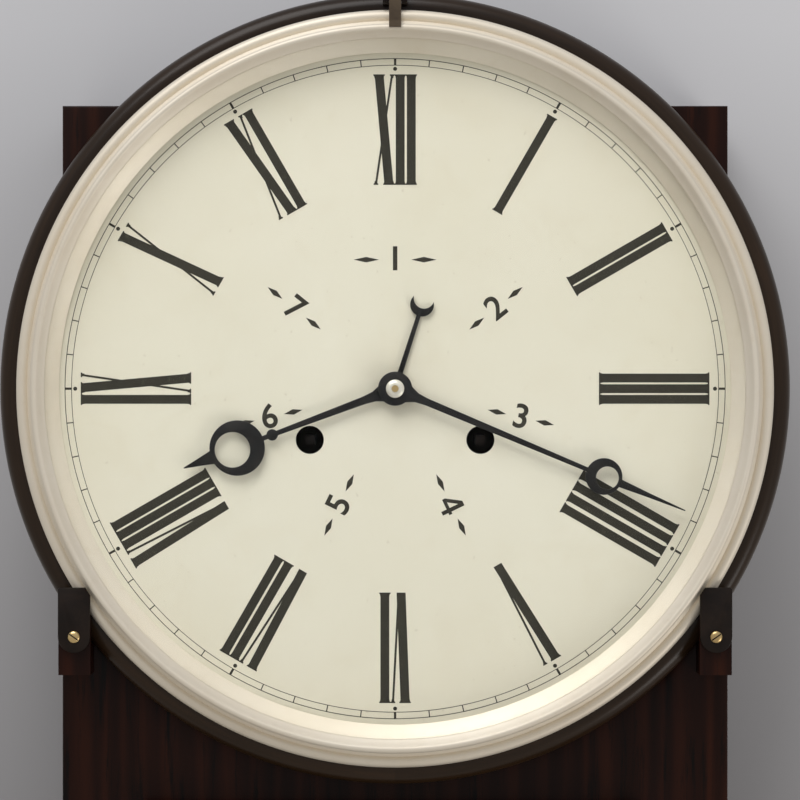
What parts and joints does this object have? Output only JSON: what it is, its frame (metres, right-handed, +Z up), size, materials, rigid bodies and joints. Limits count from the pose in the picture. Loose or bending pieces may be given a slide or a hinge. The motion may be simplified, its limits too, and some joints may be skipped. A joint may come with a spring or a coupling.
{
  "type": "wall clock",
  "caption": "Wall clock with a round glazed head on a short wooden trunk case, Roman dial, day-of-the-week hand, pendulum and coil gong.",
  "frame": {"origin": "centre of the hanging hole, on the wall plane", "axes": "+Z up, +X to the right as seen from the front, the front faces -Y and the wall is the plane y = 0"},
  "size_m": [0.3719, 0.1275, 0.552],
  "materials": {
    "dark_wood": "dark stained and French polished",
    "dark_metal": "darkened, satin",
    "steel": "polished",
    "brass": "lacquered",
    "bezel_brass": "pale, satin",
    "clear_glass": "clear",
    "dial_paint": "aged cream, matt",
    "blued_steel": "blackened, satin"
  },
  "bodies": {
    "case": {"back_board": "dark_wood", "case_boards": "dark_wood", "front_board": "dark_wood", "dial_surround": "dark_wood", "base_moulding": "dark_wood", "hanger_plate": "steel", "wood_screws": "brass", "catch_blocks": "dark_wood", "bezel_hinge_base": "dark_metal", "dial_plate": "dial_paint", "movement_blocks": "dark_wood", "back_plate": "brass", "front_plate": "brass", "plate_pillars": "steel", "pillar_nuts": "brass", "suspension_cock": "brass", "gong": "steel", "door_hinge_leaves": "brass"},
    "bezel": {"bezel_ring": "bezel_brass", "bezel_glass": "clear_glass", "sight_ring": "bezel_brass", "bezel_hinge_strap": "dark_metal"},
    "catch_left": {"bezel_catch_left": "dark_metal"},
    "catch_right": {"bezel_catch_right": "dark_metal"},
    "door": {"door_frame": "dark_wood", "door_glass": "clear_glass", "door_beads": "dark_wood", "door_hinge_straps": "brass"},
    "knob": {"door_knob": "brass"},
    "minute": {"centre_arbor": "brass", "cannon_pinion": "brass", "minute_hand": "blued_steel", "hand_nut": "brass"},
    "minute_wheel_body": {"minute_wheel": "brass"},
    "hour": {"hour_wheel": "brass", "hour_hand": "blued_steel"},
    "idler": {"day_idler": "brass"},
    "day": {"day_wheel": "brass", "day_hand": "blued_steel"},
    "second": {"second_wheel": "brass"},
    "time_barrel_body": {"time_barrel": "brass", "time_mainspring": "steel"},
    "time_winder": {"time_winding_arbor": "steel"},
    "time_click_body": {"time_click": "steel"},
    "third": {"third_wheel": "brass"},
    "escape": {"escape_wheel": "brass"},
    "anchor_body": {"anchor": "steel", "crutch": "brass"},
    "pendulum": {"suspension_spring": "steel", "pendulum_rod": "steel", "pendulum_bob": "brass", "rating_nut": "brass"},
    "pin_wheel": {"strike_pin_wheel": "brass"},
    "strike_second": {"strike_second_wheel": "brass"},
    "strike_barrel_body": {"strike_barrel": "brass", "strike_mainspring": "steel"},
    "fly": {"strike_fly": "brass"},
    "strike_winder": {"strike_winding_arbor": "steel"},
    "strike_click_body": {"strike_click": "steel"},
    "hammer_body": {"hammer": "steel"}
  },
  "joints": [
    {"name": "bezel_hinge", "type": "hinge", "parent": "case", "child": "bezel", "pos_m": [0, -0.1155, 0.0325], "axis": [-1, 0, 0], "range_deg": [0, 100]},
    {"name": "catch_left_pivot", "type": "hinge", "parent": "case", "child": "catch_left", "pos_m": [-0.15, -0.1185, -0.266], "axis": [0, -1, 0], "range_deg": [0, 100]},
    {"name": "catch_right_pivot", "type": "hinge", "parent": "case", "child": "catch_right", "pos_m": [0.15, -0.1185, -0.266], "axis": [0, 1, 0], "range_deg": [0, 100]},
    {"name": "door_hinge", "type": "hinge", "parent": "case", "child": "door", "pos_m": [-0.1214, -0.0958, -0.421], "axis": [0, 0, -1], "range_deg": [0, 105]},
    {"name": "knob_turn", "type": "hinge", "parent": "door", "child": "knob", "pos_m": [0.1, -0.1, -0.421], "axis": [0, 1, 0], "range_deg": [0, 90]},
    {"name": "minute_turn", "type": "hinge", "parent": "case", "child": "minute", "pos_m": [0, -0.07, -0.15], "axis": [0, 1, 0], "continuous": true},
    {"name": "minute_wheel_turn", "type": "hinge", "parent": "case", "child": "minute_wheel_body", "pos_m": [0, -0.078, -0.168], "axis": [0, 1, 0], "continuous": true},
    {"name": "hour_turn", "type": "hinge", "parent": "case", "child": "hour", "pos_m": [0, -0.09, -0.15], "axis": [0, 1, 0], "continuous": true},
    {"name": "day_idler_turn", "type": "hinge", "parent": "case", "child": "idler", "pos_m": [0, -0.088, -0.1275], "axis": [0, 1, 0], "continuous": true},
    {"name": "day_turn", "type": "hinge", "parent": "case", "child": "day", "pos_m": [0, -0.1, -0.15], "axis": [0, 1, 0], "continuous": true},
    {"name": "second_wheel_turn", "type": "hinge", "parent": "case", "child": "second", "pos_m": [0.02449, -0.05, -0.15069], "axis": [0, 1, 0], "continuous": true},
    {"name": "time_barrel_turn", "type": "hinge", "parent": "case", "child": "time_barrel_body", "pos_m": [0.04, -0.05, -0.174], "axis": [0, 1, 0], "continuous": true},
    {"name": "third_wheel_turn", "type": "hinge", "parent": "case", "child": "third", "pos_m": [0.00756, -0.05, -0.12849], "axis": [0, 1, 0], "continuous": true},
    {"name": "escape_wheel_turn", "type": "hinge", "parent": "case", "child": "escape", "pos_m": [0, -0.05, -0.108], "axis": [0, 1, 0], "continuous": true},
    {"name": "time_winding", "type": "hinge", "parent": "case", "child": "time_winder", "pos_m": [0.04, -0.08, -0.174], "axis": [0, 1, 0], "continuous": true},
    {"name": "time_click_pivot", "type": "hinge", "parent": "case", "child": "time_click_body", "pos_m": [0.04689, -0.071, -0.15923], "axis": [0, -1, 0], "range_deg": [0, 8], "stiffness_Nm_per_rad": 0.002},
    {"name": "strike_winding", "type": "hinge", "parent": "case", "child": "strike_winder", "pos_m": [-0.04, -0.08, -0.174], "axis": [0, 1, 0], "continuous": true},
    {"name": "strike_click_pivot", "type": "hinge", "parent": "case", "child": "strike_click_body", "pos_m": [-0.04689, -0.071, -0.15923], "axis": [0, -1, 0], "range_deg": [0, 8], "stiffness_Nm_per_rad": 0.002},
    {"name": "pendulum_swing", "type": "hinge", "parent": "case", "child": "pendulum", "pos_m": [0, -0.021, -0.08537], "axis": [0, 1, 0], "range_deg": [-3.5, 3.5]},
    {"name": "anchor_swing", "type": "hinge", "parent": "case", "child": "anchor_body", "pos_m": [0, -0.05, -0.08537], "axis": [0, 1, 0], "range_deg": [-3.5, 3.5]},
    {"name": "pin_wheel_turn", "type": "hinge", "parent": "case", "child": "pin_wheel", "pos_m": [-0.03455, -0.05, -0.12912], "axis": [0, 1, 0], "continuous": true},
    {"name": "strike_second_wheel_turn", "type": "hinge", "parent": "case", "child": "strike_second", "pos_m": [-0.02449, -0.05, -0.15069], "axis": [0, 1, 0], "continuous": true},
    {"name": "strike_barrel_turn", "type": "hinge", "parent": "case", "child": "strike_barrel_body", "pos_m": [-0.04, -0.05, -0.174], "axis": [0, 1, 0], "continuous": true},
    {"name": "strike_fly_turn", "type": "hinge", "parent": "case", "child": "fly", "pos_m": [-0.02495, -0.05, -0.11249], "axis": [0, 1, 0], "continuous": true},
    {"name": "hammer_swing", "type": "hinge", "parent": "case", "child": "hammer_body", "pos_m": [-0.056, -0.05, -0.12], "axis": [0, 1, 0], "range_deg": [0, 14]}
  ],
  "couplings": [
    {"joint": "minute_wheel_turn", "follows": "minute_turn", "ratio": -0.33333},
    {"joint": "hour_turn", "follows": "minute_turn", "ratio": 0.083333},
    {"joint": "day_idler_turn", "follows": "minute_turn", "ratio": -0.02381},
    {"joint": "day_turn", "follows": "minute_turn", "ratio": 0.0059524},
    {"joint": "second_wheel_turn", "follows": "minute_turn", "ratio": -0.16667},
    {"joint": "time_barrel_turn", "follows": "minute_turn", "ratio": 0.027778},
    {"joint": "third_wheel_turn", "follows": "minute_turn", "ratio": -8.5},
    {"joint": "escape_wheel_turn", "follows": "minute_turn", "ratio": 102},
    {"joint": "anchor_swing", "follows": "pendulum_swing", "ratio": 1},
    {"joint": "strike_second_wheel_turn", "follows": "pin_wheel_turn", "ratio": -0.13333},
    {"joint": "strike_barrel_turn", "follows": "pin_wheel_turn", "ratio": 0.022222},
    {"joint": "strike_fly_turn", "follows": "pin_wheel_turn", "ratio": -7}
  ]
}
